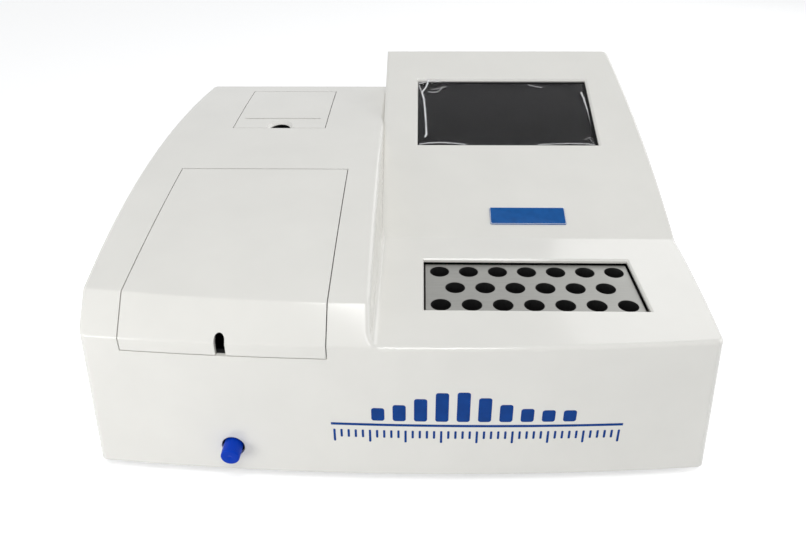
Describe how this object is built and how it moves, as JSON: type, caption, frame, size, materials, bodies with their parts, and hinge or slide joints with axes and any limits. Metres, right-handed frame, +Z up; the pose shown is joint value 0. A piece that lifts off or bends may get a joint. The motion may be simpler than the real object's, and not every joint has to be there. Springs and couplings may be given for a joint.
{
  "type": "benchtop chemistry analyzer",
  "caption": "Benchtop chemistry analyzer with a bowed white housing, sample lid, printer lid, sloping screen tower, tube wells and a push button.",
  "frame": {"origin": "on the table, under the centre of the whole box", "axes": "+X to the user's right, +Y to the back, +Z up"},
  "size_m": [0.4296, 0.3766, 0.1932],
  "materials": {
    "housing_white": "glossy off-white moulded plastic",
    "inner_grey": "satin light grey plastic",
    "dark_plastic": "satin black plastic",
    "button_blue": "glossy saturated blue",
    "block_aluminium": "fine brushed",
    "bare_steel": "satin",
    "pan_paint": "light grey powder coat",
    "screen_glass": "black gloss",
    "clear_film": "clear creased film",
    "rubber": "matt black",
    "paper": "matt white paper",
    "board_green": "solder mask",
    "soft_tube": "translucent soft tube",
    "lens": "clear",
    "filter_glass": "coated",
    "heater_orange": "polyimide film"
  },
  "bodies": {
    "root": {"upper_housing": "housing_white", "sample_lid_pins": "bare_steel", "printer_lid_pins": "bare_steel", "sample_tray": "dark_plastic", "printer_bin": "dark_plastic", "paper_spindle": "dark_plastic", "thermal_head": "dark_plastic", "pump_base": "dark_plastic", "pump_motor": "bare_steel", "pump_tubing": "soft_tube", "flow_cell_block": "dark_plastic", "optical_base": "block_aluminium", "lamp_housing": "block_aluminium", "halogen_lamp": "lens", "lens_holder": "dark_plastic", "condenser_lens": "lens", "filter_motor": "bare_steel", "detector_block": "dark_plastic", "touch_glass": "screen_glass", "screen_film": "clear_film", "lcd_panel": "bare_steel", "display_bracket": "bare_steel", "display_board": "board_green", "incubator_block": "block_aluminium", "temperature_probe": "bare_steel", "incubator_heater": "heater_orange", "incubator_cradle": "bare_steel", "button_guide": "dark_plastic", "button_spring": "bare_steel", "button_switch": "dark_plastic", "base_pan": "pan_paint", "rubber_feet": "rubber", "housing_screws": "bare_steel", "rear_panel": "pan_paint", "power_inlet": "dark_plastic", "power_switch_body": "dark_plastic", "fan_frame": "dark_plastic", "fan_guard": "bare_steel", "serial_port": "bare_steel", "usb_port": "bare_steel", "waste_outlet": "inner_grey", "board_standoffs": "bare_steel", "main_board": "board_green", "power_supply": "bare_steel"},
    "sample_lid": {"sample_lid": "housing_white"},
    "printer_lid": {"printer_lid": "housing_white"},
    "aspirate_button": {"aspirate_button": "button_blue"},
    "power_rocker": {"power_rocker": "dark_plastic"},
    "pump_rotor": {"pump_rotor": "inner_grey"},
    "filter_wheel": {"filter_wheel": "dark_plastic", "interference_filters": "filter_glass"},
    "platen_roller": {"platen_roller": "rubber"},
    "paper_roll": {"paper_roll": "paper"},
    "fan_rotor": {"fan_rotor": "dark_plastic"},
    "pump_roller_1": {"pump_roller_1": "inner_grey"},
    "pump_roller_2": {"pump_roller_2": "inner_grey"},
    "pump_roller_3": {"pump_roller_3": "inner_grey"}
  },
  "joints": [
    {"name": "sample_lid_hinge", "type": "hinge", "parent": "root", "child": "sample_lid", "pos_m": [-0.1084, -0.01793, 0.14326], "axis": [-1, 0, 0], "range_deg": [0, 95]},
    {"name": "printer_lid_hinge", "type": "hinge", "parent": "root", "child": "printer_lid", "pos_m": [-0.11, 0.15347, 0.15225], "axis": [-1, 0, 0], "range_deg": [0, 90]},
    {"name": "aspirate_button_slide", "type": "slide", "parent": "root", "child": "aspirate_button", "axis": [0, 1, 0], "range_m": [0, 0.004], "stiffness_N_per_m": 250, "springref_m": -0.002, "deforming": ["button_spring"]},
    {"name": "power_rocker_tip", "type": "hinge", "parent": "root", "child": "power_rocker", "pos_m": [0.072, 0.18327, 0.042], "axis": [1, 0, 0], "range_deg": [0, 12]},
    {"name": "pump_rotor_spin", "type": "hinge", "parent": "root", "child": "pump_rotor", "pos_m": [-0.14, -0.10673, 0.083], "axis": [0, 0, 1], "continuous": true},
    {"name": "filter_wheel_spin", "type": "hinge", "parent": "root", "child": "filter_wheel", "pos_m": [-0.118, -0.01873, 0.048], "axis": [1, 0, 0], "continuous": true},
    {"name": "paper_roll_spin", "type": "hinge", "parent": "root", "child": "paper_roll", "pos_m": [-0.11, 0.13327, 0.12257], "axis": [1, 0, 0], "continuous": true},
    {"name": "platen_roller_spin", "type": "hinge", "parent": "root", "child": "platen_roller", "pos_m": [-0.11, 0.10127, 0.14481], "axis": [1, 0, 0], "continuous": true},
    {"name": "fan_rotor_spin", "type": "hinge", "parent": "root", "child": "fan_rotor", "pos_m": [-0.1, 0.17777, 0.058], "axis": [0, 1, 0], "continuous": true},
    {"name": "pump_roller_1_spin", "type": "hinge", "parent": "pump_rotor", "child": "pump_roller_1", "pos_m": [-0.1283, -0.10673, 0.083], "axis": [0, 0, 1], "continuous": true},
    {"name": "pump_roller_2_spin", "type": "hinge", "parent": "pump_rotor", "child": "pump_roller_2", "pos_m": [-0.14585, -0.0966, 0.083], "axis": [0, 0, 1], "continuous": true},
    {"name": "pump_roller_3_spin", "type": "hinge", "parent": "pump_rotor", "child": "pump_roller_3", "pos_m": [-0.14585, -0.11686, 0.083], "axis": [0, 0, 1], "continuous": true}
  ],
  "couplings": [
    {"joint": "platen_roller_spin", "follows": "paper_roll_spin", "ratio": -4.2},
    {"joint": "pump_roller_1_spin", "follows": "pump_rotor_spin", "ratio": -3.925},
    {"joint": "pump_roller_2_spin", "follows": "pump_rotor_spin", "ratio": -3.925},
    {"joint": "pump_roller_3_spin", "follows": "pump_rotor_spin", "ratio": -3.925}
  ]
}
